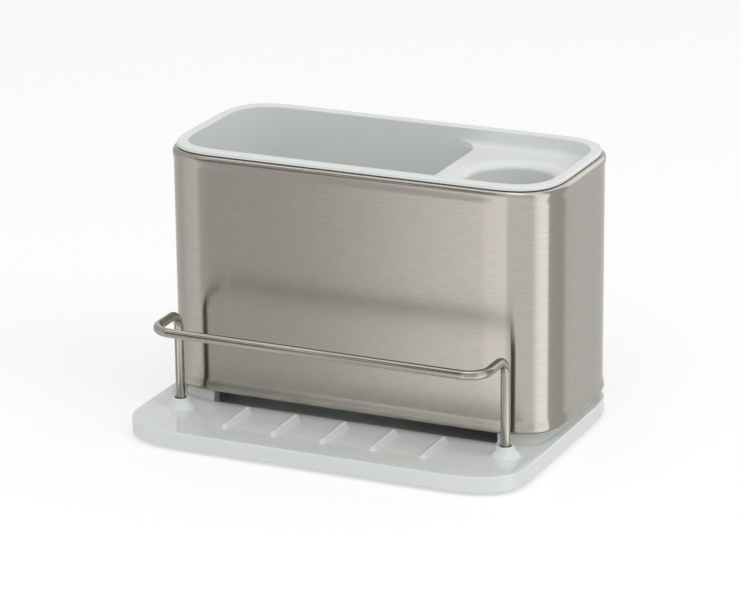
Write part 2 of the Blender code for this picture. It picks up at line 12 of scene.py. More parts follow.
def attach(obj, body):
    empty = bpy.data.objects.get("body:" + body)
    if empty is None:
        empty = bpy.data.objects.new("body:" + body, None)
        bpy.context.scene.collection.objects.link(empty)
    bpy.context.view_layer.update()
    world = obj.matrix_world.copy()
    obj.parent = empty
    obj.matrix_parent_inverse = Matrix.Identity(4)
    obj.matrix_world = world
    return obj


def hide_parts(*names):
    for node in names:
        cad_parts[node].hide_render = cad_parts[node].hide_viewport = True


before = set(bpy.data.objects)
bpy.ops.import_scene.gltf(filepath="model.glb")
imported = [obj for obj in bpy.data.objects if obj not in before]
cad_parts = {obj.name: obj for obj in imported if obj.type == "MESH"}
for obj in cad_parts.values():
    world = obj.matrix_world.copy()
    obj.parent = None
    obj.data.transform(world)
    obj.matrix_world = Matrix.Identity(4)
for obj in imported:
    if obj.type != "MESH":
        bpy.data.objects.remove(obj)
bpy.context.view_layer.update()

MM = 0.001

# Drip tray
TRAY_STAND = 1.9
TRAY_TOP = 9.6
TRAY_WALL = 2.4
TRAY_PLATE = 2.3
TRAY_EDGE = 0.7
TRAY_FOOT_EDGE = 0.35
DISH_INSET = 0.9
DISH_BANK = 10.0
DISH_LIP = 0.2
DISH_FALL = 1.7
DISH_BACK = TRAY_TOP - DISH_LIP - DISH_FALL
PLATE_UNDERSIDE = DISH_BACK - TRAY_PLATE
PLATE_MIDDLE = DISH_BACK - TRAY_PLATE / 2

# Plinth, well and drain slot
PLINTH_INSET = 3.9
PLINTH_TOP = 13.5
PLINTH_COVE = 2.2
COVE_SINK = 0.2
UPSTAND_INSET = 7.4
UPSTAND_TOP = 17.0
UPSTAND_WALL = 2.0
WELL_INSET = 9.4
WELL_BOTTOM = 4.1
WELL_CORNER = 2.0
SLOT_HALF = 74.3
SLOT_LEDGE = 2.6

# Drain ribs
RIB_PLACES = (-51.3, -25.65, 0.0, 25.65, 51.3)
RIB_START = -55.1
RIB_LENGTH = 25.8
RIB_TOP = 11.0
RIB_HALF = 0.9
RIB_SLOPE = 0.525
RIB_END_SLOPE = 0.45
RIB_SWEEP = 0.045
RIB_CORNER_SHARE = 0.98
RIB_ROUND = 0.8

# Bosses and rail
LEG_X = 84.6
LEG_Y = -34.8
BAR_Y = -63.6
BAR_Z = 56.1
WIRE_RADIUS = 2.25
WIRE_CHAMFER = 0.3
LEG_FOOT = 5.0
SOCKET_RADIUS = 2.55
SOCKET_BOTTOM = 4.7
PLAN_BEND = 10.0
LEG_BEND = 7.8
BOSS_TOP = 13.2
BOSS_TOP_RADIUS = 4.3
BOSS_BASE_RADIUS = 8.6
BOSS_FLARE = 1.6
BOSS_SINK = 0.1
BOSS_CORE_RADIUS = 4.5
BOSS_ROUND = 0.6
MOUTH_RADIUS = 3.1
MOUTH_DEPTH = 3.0

# Steel sleeve
SLEEVE_BOTTOM = 13.8
SLEEVE_TOP = 131.8
SHEET = 0.8
TOP_ROLL = 2.4
BOTTOM_ROLL = 1.3
TOP_FLARE = 0.45
BOTTOM_FLARE = 0.7
FLARE_HEIGHT = 6.8
TOP_FLANGE = 3.6
BOTTOM_FLANGE = 7.0

# Inner liner
RIM_BOTTOM = 132.1
RIM_TOP = 134.0
RIM_ROUND = 0.9
RIM_INNER_ROUND = 0.7
LINER_INSET = 4.0
LINER_WALL = 2.0
LINER_TAPER = 1.2
LINER_FLOOR = 2.2
LINER_BOTTOM = 18.5
CAVITY_FILLET = 6.0
SHELF_TOP = 125.3
SHELF_COVE = 4.0
SHELF_EDGE = 1.0
DIVIDER_X = 29.25
DIVIDER_CORNER = 11.0
POCKET_X = 63.55
POCKET_Y = 23.4
POCKET_RADIUS = 21.7
FUNNEL_RADIUS = 28.3
FUNNEL_DEPTH = 3.6
DRAIN_RADIUS = 2.5
DRAIN_PITCH = 18.0
DRAIN_COLUMNS = (-2, -1, 0, 1, 2)
DRAIN_ROWS = (-1, 0, 1)

# Feet
FOOT_RADIUS = 5.7
FOOT_TOP = 2.4
FOOT_RECESS_TOP = 2.7
FOOT_ROUND = 0.35
FOOT_PLACES = {
    "foot_front_left": (-80.0, -57.0),
    "foot_front_right": (80.0, -57.0),
    "foot_back_left": (-80.0, 52.0),
    "foot_back_right": (80.0, 52.0),
}
RECESS_RADIUS = 6.0
PILLAR_WALL = 1.6

# How far a cutting tool stands out of what it cuts, and how finely curves are drawn
OVERRUN = 5.0
CORNER_STEPS = 20
ROUND_STEPS = 72
DRAIN_STEPS = 24
BEND_STEPS = 8
EDGE_STEPS = 5
RIB_STEPS = 10
WIRE_SIDES = 32
SHARP_ANGLE = math.radians(32)

# Plans as x_min, x_max, y_min, y_max and the reaches of the corners along X and Y, counter-clockwise
# from the front right one. The form is below 1 for corners that start more gently than an arc.
CORNER_FORM = 0.667
FRONT_REACH = (42.6, 30.2)
BACK_REACH = (36.8, 36.8)
TRAY_PLAN = (-101.5, 101.5, -71.5, 71.5, (FRONT_REACH, BACK_REACH, BACK_REACH, FRONT_REACH))
SLEEVE_PLAN = (-100.25, 100.25, -23.45, 70.25, ((33.0, 33.0),) * 4)
RIM_PLAN = (-98.95, 98.95, -22.15, 68.95, ((32.7, 32.7),) * 4)
CAVITY_PLAN = (-94.05, 94.05, -16.35, 63.15, ((27.8, 26.9),) * 4)


# Camera

IMAGE_WIDTH = 740
FOCAL_PIXELS = 3670.3
SENSOR = 36.0
CAMERA_TARGET = Vector((1.504, -2.50, 63.54))
CAMERA_DISTANCE = 1748.0
CAMERA_AZIMUTH = 24.58
CAMERA_ELEVATION = 18.58
CAMERA_ROLL = math.radians(-0.58)
CLIP_START = 0.05
CLIP_END = 50


def bearing(azimuth, elevation):
    """Unit vector toward a place, by degrees: azimuth is 0 in front and 90 at the right."""
    azimuth = math.radians(azimuth)
    elevation = math.radians(elevation)
    flat = math.cos(elevation)
    return Vector((math.sin(azimuth) * flat, -math.cos(azimuth) * flat, math.sin(elevation)))


def camera():
    """The photograph's view, fitted to the outlines of the tray, the sleeve and the rim."""
    back = bearing(CAMERA_AZIMUTH, CAMERA_ELEVATION)
    level_right = bearing(CAMERA_AZIMUTH + 90, 0)
    level_up = back.cross(level_right)
    right = level_right * math.cos(CAMERA_ROLL) + level_up * math.sin(CAMERA_ROLL)
    up = level_up * math.cos(CAMERA_ROLL) - level_right * math.sin(CAMERA_ROLL)
    data = bpy.data.cameras.new("camera")
    data.sensor_width = SENSOR
    data.lens = FOCAL_PIXELS * SENSOR / IMAGE_WIDTH
    data.clip_start = CLIP_START
    data.clip_end = CLIP_END
    body = bpy.data.objects.new("camera", data)
    bpy.context.scene.collection.objects.link(body)
    turn = Matrix((right, up, back)).transposed().to_4x4()
    place = (CAMERA_TARGET + back * CAMERA_DISTANCE) * MM
    body.matrix_world = Matrix.Translation(place) @ turn
    bpy.context.scene.camera = body


# Mesh tools

def outline(x_min, x_max, y_min, y_max, reaches, steps=CORNER_STEPS, form=1.0):
    """Points of a rounded rectangle, counter-clockwise from its front right corner."""
    corners = (
        (x_max, y_min, 1, -1),
        (x_max, y_max, 1, 1),
        (x_min, y_max, -1, 1),
        (x_min, y_min, -1, -1),
    )
    points = []
    for (x, y, side_x, side_y), (reach_x, reach_y) in zip(corners, reaches):
        turn = quarter(steps)
        if side_x == side_y:
            turn.reverse()
        for sine, cosine in turn:
            points.append((x - side_x * reach_x * (1 - sine ** form),
                           y - side_y * reach_y * (1 - cosine ** form)))
    return points


def inset(plan, distance):
    """Outline of a plan with gentle corners, drawn in by a distance all round."""
    x_min, x_max, y_min, y_max, reaches = plan
    inner = [(reach_x - distance, reach_y - distance) for reach_x, reach_y in reaches]
    return outline(x_min + distance, x_max - distance, y_min + distance, y_max - distance,
                   inner, form=CORNER_FORM)


def even(radius):
    """Reaches of four equal round corners."""
    return ((radius, radius),) * 4


def circle(x, y, radius, steps=ROUND_STEPS):
    """Points of a circle, counter-clockwise."""
    angles = [math.tau * step / steps for step in range(steps)]
    return [(x + radius * math.cos(angle), y + radius * math.sin(angle)) for angle in angles]


def quarter(steps=BEND_STEPS):
    """Sine and cosine at even steps over a quarter turn."""
    angles = [math.radians(90 * step / steps) for step in range(steps + 1)]
    return [(math.sin(angle), math.cos(angle)) for angle in angles]


def level(points, z):
    """A ring of points at one height."""
    return [Vector((x, y, z)) for x, y in points]


def ease(share):
    """A share from 0 to 1, with a soft start and a soft end."""
    return share * share * (3 - 2 * share)


def loft(name, rings, closed=False):
    """A solid through rings of equally many points, capped, or closed on itself like a tyre."""
    count = len(rings[0])
    points = [point * MM for ring in rings for point in ring]
    faces = []
    for span in range(len(rings) if closed else len(rings) - 1):
        low = span * count
        high = (span + 1) % len(rings) * count
        for side in range(count):
            after = (side + 1) % count
            faces.append((low + side, low + after, high + after, high + side))
    if not closed:
        last = (len(rings) - 1) * count
        faces.append(tuple(reversed(range(count))))
        faces.append(tuple(range(last, last + count)))
    mesh = bpy.data.meshes.new(name)
    mesh.from_pydata(points, [], faces)
    mesh.update()
    body = bpy.data.objects.new(name, mesh)
    bpy.context.scene.collection.objects.link(body)
    return body


def turned(name, x, y, profile, steps=ROUND_STEPS):
    """A solid of revolution about a vertical line, through pairs of radius and height."""
    return loft(name, [level(circle(x, y, radius, steps), z) for radius, z in profile])


def post(x, y, radius, low, high, steps=ROUND_STEPS):
    """A plain round post between two heights."""
    return turned("post", x, y, [(radius, low), (radius, high)], steps)


def combine(body, tool, operation):
    """Join a tool to a body, or cut it out of the body, and delete the tool."""
    modifier = body.modifiers.new("combine", "BOOLEAN")
    modifier.operation = operation
    modifier.solver = "MANIFOLD"
    modifier.object = tool
    graph = bpy.context.evaluated_depsgraph_get()
    result = bpy.data.meshes.new_from_object(body.evaluated_get(graph))
    body.modifiers.clear()
    body.data = result
    bpy.data.objects.remove(tool)


def join(body, *tools):
    """Join tools to a body."""
    for tool in tools:
        combine(body, tool, "UNION")


def cut(body, *tools):
    """Cut tools out of a body."""
    for tool in tools:
        combine(body, tool, "DIFFERENCE")


def dress(body, material, cad_body, slot, *nodes):
    """Shade a piece, give it its material, and put it on its body in place of its CAD node."""
    body.data.materials.clear()
    body.data.materials.append(material)
    body.data.shade_smooth()
    body.data.set_sharp_from_angle(angle=SHARP_ANGLE)
    normals = body.modifiers.new("even shading", "WEIGHTED_NORMAL")
    normals.keep_sharp = True
    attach(body, cad_body)
    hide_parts(*nodes)


# Drip tray

def tray_slab():
    """The tray's outer form, with a rounded top edge and a blunt lower one."""
    rings = []
    for sine, cosine in quarter(3):
        z = TRAY_STAND + TRAY_FOOT_EDGE * (1 - sine)
        rings.insert(0, level(inset(TRAY_PLAN, TRAY_FOOT_EDGE * (1 - cosine)), z))
    for sine, cosine in quarter():
        z = TRAY_TOP - TRAY_EDGE * (1 - sine)
        rings.append(level(inset(TRAY_PLAN, TRAY_EDGE * (1 - cosine)), z))
    return loft("drip_tray_piece", rings)


def dish_ring(drawn_in, share):
    """A ring of the dish's surface, at a share of the full depth that the dish has there."""
    front = TRAY_PLAN[2] + DISH_INSET + DISH_BANK
    sleeve_front = SLEEVE_PLAN[2]
    points = inset(TRAY_PLAN, drawn_in)
    side = max(x for x, y in points)
    half = CORNER_STEPS + 1
    points.insert(3 * half, (-side, sleeve_front))
    points.insert(half, (side, sleeve_front))
    ring = []
    for x, y in points:
        run = min(max(y - front, 0), sleeve_front - front)
        depth = DISH_LIP + DISH_FALL * run / (sleeve_front - front)
        ring.append(Vector((x, y, TRAY_TOP - share * depth)))
    return ring


def dish_tool():
    """The space over the dish, with a soft bank up to the tray's edge."""
    rings = []
    for step in range(2 * BEND_STEPS + 1):
        share = step / (2 * BEND_STEPS)
        rings.append(dish_ring(DISH_INSET + DISH_BANK * (1 - share), (1 + math.cos(math.pi * share)) / 2))
    rings.append([point + Vector((0, 0, OVERRUN)) for point in rings[-1]])
    tool = loft("dish", rings)
    split_cap(tool, CORNER_STEPS + 1, 3 * (CORNER_STEPS + 1) + 1)
    return tool


def split_cap(tool, first, second):
    """Divide the lower cap along the line where the dish's fall ends, so that both parts are flat."""
    mesh = tool.data
    cap = next(face for face in mesh.polygons if len(face.vertices) > 4 and first in face.vertices)
    order = list(cap.vertices)
    faces = [tuple(face.vertices) for face in mesh.polygons if face.index != cap.index]
    start = order.index(first)
    order = order[start:] + order[:start]
    end = order.index(second)
    faces.append(tuple(order[:end + 1]))
    faces.append(tuple(order[end:] + order[:1]))
    points = [vertex.co.copy() for vertex in mesh.vertices]
    mesh.clear_geometry()
    mesh.from_pydata(points, [], faces)
    mesh.update()


def plinth():
    """The raised seat under the sleeve, with a cove at its foot and an upstand inside the sleeve."""
    foot = DISH_BACK - COVE_SINK
    rings = [level(inset(SLEEVE_PLAN, PLINTH_INSET - PLINTH_COVE), PLATE_MIDDLE)]
    for sine, cosine in quarter():
        drawn_in = PLINTH_INSET - PLINTH_COVE * (1 - sine)
        rings.append(level(inset(SLEEVE_PLAN, drawn_in), foot + PLINTH_COVE * (1 - cosine)))
    rings.append(level(inset(SLEEVE_PLAN, PLINTH_INSET), PLINTH_TOP))
    rings.append(level(inset(SLEEVE_PLAN, UPSTAND_INSET), PLINTH_TOP))
    rings.append(level(inset(SLEEVE_PLAN, UPSTAND_INSET), UPSTAND_TOP))
    return loft("plinth", rings)


def well_tool():
    """The space inside the well, with a rounded floor edge."""
    rings = []
    for sine, cosine in quarter():
        drawn_in = WELL_INSET + WELL_CORNER * (1 - sine)
        rings.append(level(inset(SLEEVE_PLAN, drawn_in), WELL_BOTTOM + WELL_CORNER * (1 - cosine)))
    rings.append(level(inset(SLEEVE_PLAN, WELL_INSET), UPSTAND_TOP + OVERRUN))
    return loft("well", rings)


def slot_prism(grown, low, high):
    """The drain slot's throat, or the block of plastic round it, between two heights."""
    half = SLOT_HALF + grown
    front = SLEEVE_PLAN[2] + SLOT_LEDGE - grown
    back = SLEEVE_PLAN[2] + WELL_INSET + OVERRUN
    points = outline(-half, half, front, back, even(1.0 + grown / 2), BEND_STEPS)
    return loft("slot", [level(points, low), level(points, high)])


def rib(x):
    """One drain rib: a level round-edged ridge whose flanks sweep out into the dish."""
    deepest = RIB_TOP - PLATE_MIDDLE
    profile = [(deepest * (1 - step / RIB_STEPS), 0.0) for step in range(RIB_STEPS)]
    for sine, cosine in quarter(EDGE_STEPS):
        profile.append((RIB_ROUND * (1 - sine), RIB_ROUND * (1 - cosine)))
    rings = []
    for depth, blunt in profile:
        sweep = RIB_SWEEP * depth * depth
        half = RIB_HALF + RIB_SLOPE * depth + sweep - blunt
        end = RIB_END_SLOPE * depth + sweep - blunt
        points = outline(x - half, x + half, RIB_START - end, RIB_START + RIB_LENGTH + end,
                         even(half * RIB_CORNER_SHARE), BEND_STEPS)
        rings.append(level(points, RIB_TOP - depth))
    return loft("rib", rings)


def boss(x):
    """One boss for a leg of the rail: a cone that sweeps out into the dish, with a round top edge."""
    profile = [(BOSS_BASE_RADIUS, PLATE_MIDDLE)]
    height = BOSS_TOP - DISH_BACK + BOSS_SINK
    spread = BOSS_BASE_RADIUS - BOSS_TOP_RADIUS
    for step in range(2 * BEND_STEPS):
        share = step / (2 * BEND_STEPS)
        radius = BOSS_TOP_RADIUS + spread * (1 - share) ** BOSS_FLARE
        profile.append((radius, DISH_BACK - BOSS_SINK + (height - BOSS_ROUND) * share))
    for sine, cosine in quarter(EDGE_STEPS):
        profile.append((BOSS_TOP_RADIUS - BOSS_ROUND * (1 - cosine), BOSS_TOP - BOSS_ROUND * (1 - sine)))
    return turned("boss", x, LEG_Y, profile)


def drip_tray(material):
    """The tray, with its dish, ribs, bosses, plinth, drain slot, well and hollow underside."""
    tray = tray_slab()
    hollow = inset(TRAY_PLAN, TRAY_WALL)
    cut(tray, dish_tool())
    cut(tray, loft("hollow", [level(hollow, TRAY_STAND - OVERRUN), level(hollow, PLATE_UNDERSIDE)]))
    block = inset(SLEEVE_PLAN, UPSTAND_INSET)
    join(tray, loft("well_block", [level(block, TRAY_STAND), level(block, PLATE_MIDDLE)]))
    join(tray, slot_prism(UPSTAND_WALL, TRAY_STAND, PLATE_MIDDLE), plinth())
    for x in RIB_PLACES:
        join(tray, rib(x))
    for x in (-LEG_X, LEG_X):
        join(tray, boss(x), post(x, LEG_Y, BOSS_CORE_RADIUS, TRAY_STAND, PLATE_MIDDLE))
    # The back feet sit under the well's block, so only the front ones need pillars.
    for name, (x, y) in FOOT_PLACES.items():
        if "front" in name:
            join(tray, post(x, y, RECESS_RADIUS + PILLAR_WALL, TRAY_STAND, PLATE_MIDDLE))
    cut(tray, well_tool(), slot_prism(0, WELL_BOTTOM, UPSTAND_TOP + OVERRUN))
    for x in (-LEG_X, LEG_X):
        cut(tray, turned("socket", x, LEG_Y, [(SOCKET_RADIUS, SOCKET_BOTTOM),
                                              (SOCKET_RADIUS, BOSS_TOP - MOUTH_DEPTH),
                                              (MOUTH_RADIUS, BOSS_TOP),
                                              (MOUTH_RADIUS, BOSS_TOP + OVERRUN)]))
    for x, y in FOOT_PLACES.values():
        cut(tray, post(x, y, RECESS_RADIUS, TRAY_STAND - OVERRUN, FOOT_RECESS_TOP))
    dress(tray, material, "tray", "tray_plastic", "drip_tray")


def foot(name, place, material):
    """One soft foot, seated in its recess."""
    x, y = place
    profile = [(FOOT_RADIUS - FOOT_ROUND * cosine, FOOT_ROUND * (1 - sine)) for sine, cosine in quarter(4)]
    profile.append((FOOT_RADIUS, FOOT_TOP))
    piece = turned(name + "_piece", x, y, profile)
    dress(piece, material, "tray", "foot_rubber", name)


# Steel sleeve

def sheet_end(end, away, roll, swell, flange, cut_back):
    """Inset and height of one end of the sheet, from the lip of its rolled edge to the plain face.

    cut_back is nothing for the outer face, and the sheet's thickness for the inner one.
    """
    bend = roll - cut_back
    points = [(flange, end + away * cut_back)]
    for sine, cosine in quarter(12):
        points.append((roll - swell - bend * sine, end + away * (roll - bend * cosine)))
    for step in range(1, BEND_STEPS + 1):
        share = step / BEND_STEPS
        height = roll + (FLARE_HEIGHT - roll) * share
        points.append((cut_back - swell * (1 - ease(share)), end + away * height))
    return points


def sleeve_profile():
    """Inset and height round the sheet's section: up the outer face, then down the inner one."""
    low = (SLEEVE_BOTTOM, 1, BOTTOM_ROLL, BOTTOM_FLARE, BOTTOM_FLANGE)
    high = (SLEEVE_TOP, -1, TOP_ROLL, TOP_FLARE, TOP_FLANGE)
    outer = sheet_end(*low, 0) + sheet_end(*high, 0)[::-1]
    return outer + sheet_end(*high, SHEET) + sheet_end(*low, SHEET)[::-1]


def steel_sleeve(material):
    """The sheet sleeve, open at both ends, with both edges rolled inward."""
    rings = [level(inset(SLEEVE_PLAN, drawn_in), z) for drawn_in, z in sleeve_profile()]
    sleeve = loft("steel_sleeve_piece", rings, closed=True)
    dress(sleeve, material, "sleeve", "sleeve_steel", "steel_sleeve")


# Inner liner

def compartment_outline(drawn_in, divider_out=0.0):
    """Plan of the large compartment, drawn in by a distance; its right side may stand further out."""
    x_min, x_max, y_min, y_max, reaches = CAVITY_PLAN
    reach_x, reach_y = reaches[0]
    left = (reach_x - drawn_in, reach_y - drawn_in)
    right = (DIVIDER_CORNER - drawn_in,) * 2
    return outline(x_min + drawn_in, DIVIDER_X - drawn_in + divider_out, y_min + drawn_in, y_max - drawn_in,
                   (right, right, left, left), form=CORNER_FORM)


def compartment_tool():
    """The space in the large compartment, with a rounded floor edge and a rounded shelf edge."""
    floor = LINER_BOTTOM + LINER_FLOOR
    rings = []
    for sine, cosine in quarter():
        drawn_in = LINER_TAPER + CAVITY_FILLET * (1 - sine)
        rings.append(level(compartment_outline(drawn_in), floor + CAVITY_FILLET * (1 - cosine)))
    taper_rise = RIM_TOP - floor
    for sine, cosine in quarter(EDGE_STEPS):
        z = SHELF_TOP - SHELF_EDGE * (1 - sine)
        drawn_in = LINER_TAPER * (RIM_TOP - z) / taper_rise
        rings.append(level(compartment_outline(drawn_in, SHELF_EDGE * (1 - cosine)), z))
    rings.append(level(compartment_outline(0, SHELF_EDGE), RIM_TOP + OVERRUN))
    return loft("compartment", rings)


def compartment_shell():
    """The outside of the large compartment, a wall's thickness round its space."""
    fillet = CAVITY_FILLET + LINER_WALL
    rings = []
    for sine, cosine in quarter():
        drawn_in = LINER_TAPER - LINER_WALL + fillet * (1 - sine)
        rings.append(level(compartment_outline(drawn_in), LINER_BOTTOM + fillet * (1 - cosine)))
    rings.append(level(compartment_outline(-LINER_WALL), SHELF_TOP - LINER_FLOOR / 2))
    return loft("compartment_shell", rings)


def pocket_profile(grown):
    """Radius and height of the brush pocket's lower part, grown by a wall or by nothing."""
    floor = LINER_BOTTOM + LINER_FLOOR - grown
    fillet = CAVITY_FILLET + grown
    low = POCKET_RADIUS - LINER_TAPER + grown
    return [(low - fillet * (1 - sine), floor + fillet * (1 - cosine)) for sine, cosine in quarter()]


def pocket_tool():
    """The space in the brush pocket, with the funnel in the shelf over it."""
    profile = pocket_profile(0)
    spread = FUNNEL_RADIUS - POCKET_RADIUS
    for sine, cosine in quarter(12):
        profile.append((POCKET_RADIUS + spread * (1 - cosine), SHELF_TOP - FUNNEL_DEPTH * (1 - sine)))
    profile.append((FUNNEL_RADIUS, SHELF_TOP + OVERRUN))
    return turned("pocket", POCKET_X, POCKET_Y, profile)


def pocket_shell():
    """The outside of the brush pocket."""
    profile = pocket_profile(LINER_WALL)
    profile.append((POCKET_RADIUS + LINER_WALL, SHELF_TOP - FUNNEL_DEPTH - LINER_WALL))
    profile.append((FUNNEL_RADIUS + LINER_WALL, SHELF_TOP - LINER_FLOOR / 2))
    return turned("pocket_shell", POCKET_X, POCKET_Y, profile)


def shelf_tool():
    """The space over the shelf, with a cove at its walls and a rounded inner edge of the rim."""
    rings = []
    for sine, cosine in quarter():
        z = SHELF_TOP + SHELF_COVE * (1 - cosine)
        rings.append(level(inset(CAVITY_PLAN, SHELF_COVE * (1 - sine)), z))
    for sine, cosine in quarter():
        z = RIM_TOP - RIM_INNER_ROUND * (1 - sine)
        rings.append(level(inset(CAVITY_PLAN, -RIM_INNER_ROUND * (1 - cosine)), z))
    rings.append(level(inset(CAVITY_PLAN, -RIM_INNER_ROUND), RIM_TOP + OVERRUN))
    return loft("shelf", rings)


def rim_and_collar():
    """The rim over the sleeve's edge, and the collar below it that carries the shelf."""
    rings = [
        level(inset(SLEEVE_PLAN, LINER_INSET), SHELF_TOP - LINER_FLOOR),
        level(inset(SLEEVE_PLAN, LINER_INSET), RIM_BOTTOM),
        level(inset(RIM_PLAN, 0.2), RIM_BOTTOM),
        level(inset(RIM_PLAN, 0), RIM_BOTTOM + 0.2),
    ]
    for sine, cosine in quarter():
        z = RIM_TOP - RIM_ROUND * (1 - sine)
        rings.append(level(inset(RIM_PLAN, RIM_ROUND * (1 - cosine)), z))
    return loft("inner_liner_piece", rings)


def inner_liner(material):
    """The liner that hangs in the sleeve by its rim: compartment, shelf and brush pocket."""
    liner = rim_and_collar()
    join(liner, compartment_shell(), pocket_shell())
    cut(liner, shelf_tool(), compartment_tool(), pocket_tool())
    middle = (CAVITY_PLAN[0] + DIVIDER_X) / 2
    places = [(POCKET_X, POCKET_Y)]
    places += [(middle + column * DRAIN_PITCH, POCKET_Y + row * DRAIN_PITCH)
               for column in DRAIN_COLUMNS for row in DRAIN_ROWS]
    for x, y in places:
        cut(liner, post(x, y, DRAIN_RADIUS, LINER_BOTTOM - OVERRUN, LINER_BOTTOM + LINER_FLOOR + OVERRUN,
                        DRAIN_STEPS))
    dress(liner, material, "liner", "liner_plastic", "inner_liner")


# Wire rail

def rail_path():
    """Centre line of the rail from the foot of its left leg to the foot of its right leg."""
    left = [Vector((-LEG_X, LEG_Y, z)) for z in (LEG_FOOT, LEG_FOOT + WIRE_CHAMFER, 20.0, 40.0)]
    for sine, cosine in quarter(14):
        left.append(Vector((-LEG_X, LEG_Y - LEG_BEND * (1 - cosine), BAR_Z - LEG_BEND * (1 - sine))))
    for sine, cosine in quarter(16):
        left.append(Vector((-LEG_X + PLAN_BEND * (1 - cosine), BAR_Y + PLAN_BEND * (1 - sine), BAR_Z)))
    left += [Vector((x, BAR_Y, BAR_Z)) for x in (-50.0, -25.0)]
    right = [Vector((-point.x, point.y, point.z)) for point in reversed(left)]
    return left + [Vector((0, BAR_Y, BAR_Z))] + right


def wire_rail(material):
    """The bent wire that holds a sponge on the ribs, with a small chamfer at both ends."""
    path = rail_path()
    rings = []
    skin = []
    travel = 0.0
    across = Vector((1, 0, 0))
    for index, point in enumerate(path):
        before = path[max(index - 1, 0)]
        after = path[min(index + 1, len(path) - 1)]
        along = (after - before).normalized()
        across = (across - along * across.dot(along)).normalized()
        beside = along.cross(across)
        radius = WIRE_RADIUS - (WIRE_CHAMFER if index in (0, len(path) - 1) else 0)
        travel += (point - before).length
        ring = []
        for side in range(WIRE_SIDES):
            angle = math.tau * side / WIRE_SIDES
            ring.append(point + (across * math.cos(angle) + beside * math.sin(angle)) * radius)
            skin.append(Vector((radius * math.cos(angle), radius * math.sin(angle), travel)) * MM)
        rings.append(ring)
    rail = loft("wire_rail_piece", rings)
    # Each point's place in the straight wire, before it was bent, for the lines of the die
    drawn = rail.data.attributes.new("drawn", "FLOAT_VECTOR", "POINT")
    for index, place in enumerate(skin):
        drawn.data[index].vector = place
    dress(rail, material, "rail", "wire_steel", "wire_rail")


# Materials

def linear(code):
    """An sRGB hex code as linear colour."""
    parts = [int(code[place:place + 2], 16) / 255 for place in (0, 2, 4)]
    return [part / 12.92 if part <= 0.04045 else ((part + 0.055) / 1.055) ** 2.4 for part in parts] + [1.0]


def add(tree, kind, links=(), **settings):
    """A node with its settings and its links: (socket of this node, socket or value for it)."""
    node = tree.nodes.new(kind)
    for name, value in settings.items():
        if hasattr(node, name):
            setattr(node, name, value)
        else:
            node.inputs[name.replace("_", " ")].default_value = value
    for socket, source in links:
        if isinstance(source, bpy.types.NodeSocket):
            tree.links.new(node.inputs[socket], source)
        else:
            node.inputs[socket].default_value = source
    return node


def start_material(name):
    """A material with a Principled shader; returns the material, its tree and the shader."""
    material = bpy.data.materials.new(name)
    material.use_nodes = True
    return material, material.node_tree, material.node_tree.nodes["Principled BSDF"]


def brushed_stainless():
    """Stainless steel sheet, brushed along the horizontal with an abrasive belt.

    The lines spread each reflection up and down, so upright things stay crisp in it and level ones blur.
    """
    material, tree, shader = start_material("brushed stainless steel sheet")
    shader.inputs["Metallic"].default_value = 1.0
    shader.inputs["Anisotropic"].default_value = 1.0
    shader.inputs["Anisotropic Rotation"].default_value = 0.25
    place = add(tree, "ShaderNodeTexCoord").outputs["Object"]
    # Brush lines run for some 25 mm and lie about 0.1 mm apart, as left by 180 grit.
    lines = add(tree, "ShaderNodeMapping", [("Vector", place)], Scale=(40, 40, 9000))
    grain = add(tree, "ShaderNodeTexNoise", [("Vector", lines.outputs["Vector"])], Scale=1.0, Detail=2.0)
    rough = add(tree, "ShaderNodeMapRange", [("Value", grain.outputs["Fac"])], From_Min=0.42, From_Max=0.52,
                To_Min=0.135, To_Max=0.165)
    tree.links.new(shader.inputs["Roughness"], rough.outputs["Result"])
    # Deeper strokes lie about 0.4 mm apart and run for some 8 mm.
    strokes = add(tree, "ShaderNodeMapping", [("Vector", place)], Scale=(130, 130, 2400))
    shade = add(tree, "ShaderNodeTexNoise", [("Vector", strokes.outputs["Vector"])], Scale=1.0, Detail=4.0,
                Roughness=0.65)
    tone = add(tree, "ShaderNodeMapRange", [("Value", shade.outputs["Fac"])], From_Min=0.25, From_Max=0.75,
               To_Min=0.91, To_Max=1.09)
    tint = add(tree, "ShaderNodeVectorMath", [(0, linear("ADA8A0")[:3]), (1, tone.outputs["Result"])],
               operation="MULTIPLY")
    tree.links.new(shader.inputs["Base Color"], tint.outputs["Vector"])
    bump = add(tree, "ShaderNodeBump", [("Height", shade.outputs["Fac"])], Strength=0.008, Distance=0.00002)
    tree.links.new(shader.inputs["Normal"], bump.outputs["Normal"])
    turn = add(tree, "ShaderNodeTangent", direction_type="RADIAL", axis="Z")
    tree.links.new(shader.inputs["Tangent"], turn.outputs["Tangent"])
    return material


